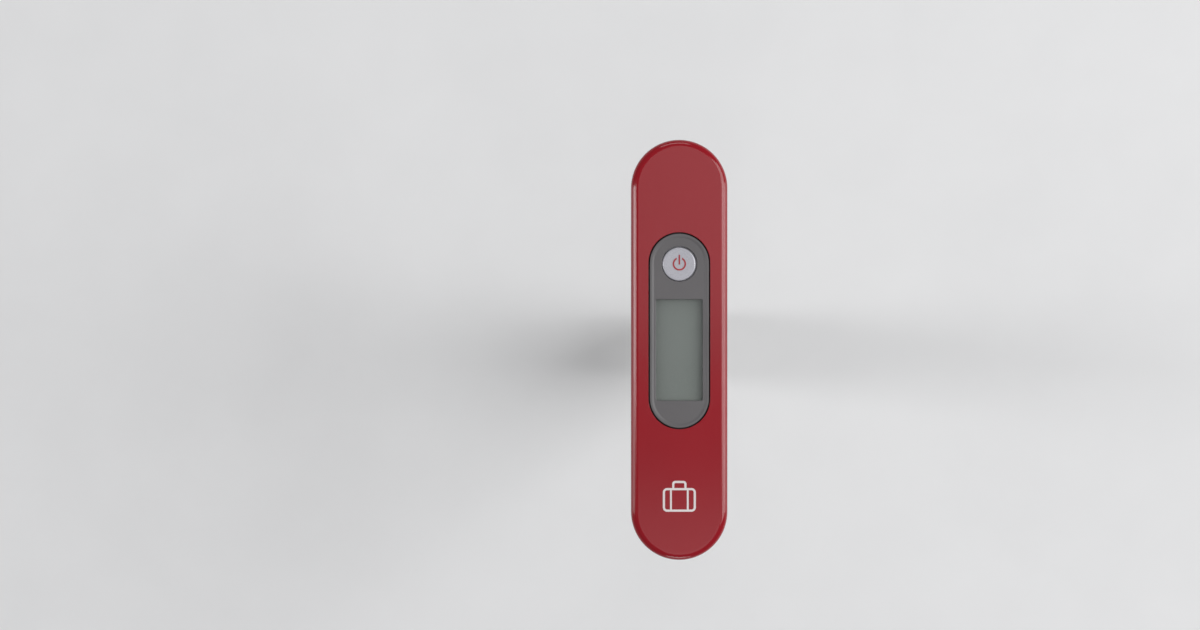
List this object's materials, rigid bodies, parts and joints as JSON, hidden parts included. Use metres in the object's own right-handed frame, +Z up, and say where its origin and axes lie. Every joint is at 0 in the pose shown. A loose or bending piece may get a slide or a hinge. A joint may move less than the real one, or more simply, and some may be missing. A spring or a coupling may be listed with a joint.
{
  "type": "digital luggage scale",
  "caption": "Hand-held digital luggage scale: slim round-ended body with display and power button, load eye, triangular wire ring and a webbing strap with a sewn loop.",
  "frame": {"origin": "middle of the body, where the hand grips it, on the joint between the top cover and the lower shell", "axes": "+X is the body's width to the right of the face, +Y its length towards the power button, +Z up out of the face; the ring and strap hang down -Z"},
  "size_m": [0.031, 0.135, 0.2085],
  "materials": {
    "red_plastic": "semi-gloss moulded",
    "grey_plastic": "fine satin moulded",
    "bezel_plastic": "satin moulded",
    "clear_lens": "clear acrylic",
    "display_glass": "grey-green reflective display, switched off",
    "light_guide_plastic": "frosted acrylic",
    "zebra_rubber": "matt",
    "circuit_board": "solder mask",
    "black_resin": "moulded resin",
    "switch_steel": "stamped",
    "silver_plastic": "pearl silver, satin",
    "icon_ink": "printed",
    "mark_ink": "printed",
    "screw_steel": "zinc plated",
    "beam_aluminium": "milled",
    "gauge_foil": "polyimide film",
    "wire_insulation": "smooth",
    "eye_steel": "polished",
    "grommet_rubber": "matt",
    "cell_steel": "nickel plated",
    "contact_steel": "nickel plated spring strip",
    "ring_wire": "polished nickel plated wire",
    "webbing": "woven ribbed polyester webbing",
    "thread": "bonded polyester thread"
  },
  "bodies": {
    "housing": {"top_cover": "red_plastic", "bottom_shell": "grey_plastic", "bezel_panel": "bezel_plastic", "lens_window": "clear_lens", "lcd_glass": "display_glass", "lcd_light_guide": "light_guide_plastic", "zebra_strips": "zebra_rubber", "main_pcb": "circuit_board", "pcb_components": "black_resin", "tact_switch": "switch_steel", "face_mark": "mark_ink", "housing_screws": "screw_steel", "pcb_screws": "screw_steel", "load_cell_screws": "screw_steel", "load_cell_beam": "beam_aluminium", "strain_gauges": "gauge_foil", "gauge_wires": "wire_insulation", "load_eye": "eye_steel", "eye_nut": "screw_steel", "eye_grommet": "grommet_rubber", "battery_cell": "cell_steel", "battery_contacts": "contact_steel", "battery_wires": "wire_insulation"},
    "button": {"button_cap": "silver_plastic", "button_icon": "icon_ink", "switch_plunger": "black_resin"},
    "door": {"battery_door": "grey_plastic"},
    "ring": {"triangle_ring": "ring_wire"},
    "strap_upper": {"strap_fold": "webbing", "fold_stitching": "thread"},
    "strap_lower": {"strap_loop": "webbing", "loop_stitching": "thread"}
  },
  "joints": [
    {"name": "button_press", "type": "slide", "parent": "housing", "child": "button", "axis": [0, 0, -1], "range_m": [0, 0.0006], "stiffness_N_per_m": 3000, "springref_m": -0.0001},
    {"name": "door_pull", "type": "slide", "parent": "housing", "child": "door", "axis": [0, 0, -1], "range_m": [0, 0.012]},
    {"name": "ring_swing", "type": "hinge", "parent": "housing", "child": "ring", "pos_m": [0, 0, -0.0224], "axis": [0, 1, 0], "range_deg": [-65, 65]},
    {"name": "strap_pivot", "type": "hinge", "parent": "ring", "child": "strap_upper", "pos_m": [0, 0, -0.04485], "axis": [0, 1, 0], "range_deg": [-90, 90]},
    {"name": "strap_bend", "type": "hinge", "parent": "strap_upper", "child": "strap_lower", "pos_m": [0, 0, -0.09985], "axis": [0, 1, 0], "range_deg": [-100, 100]}
  ]
}
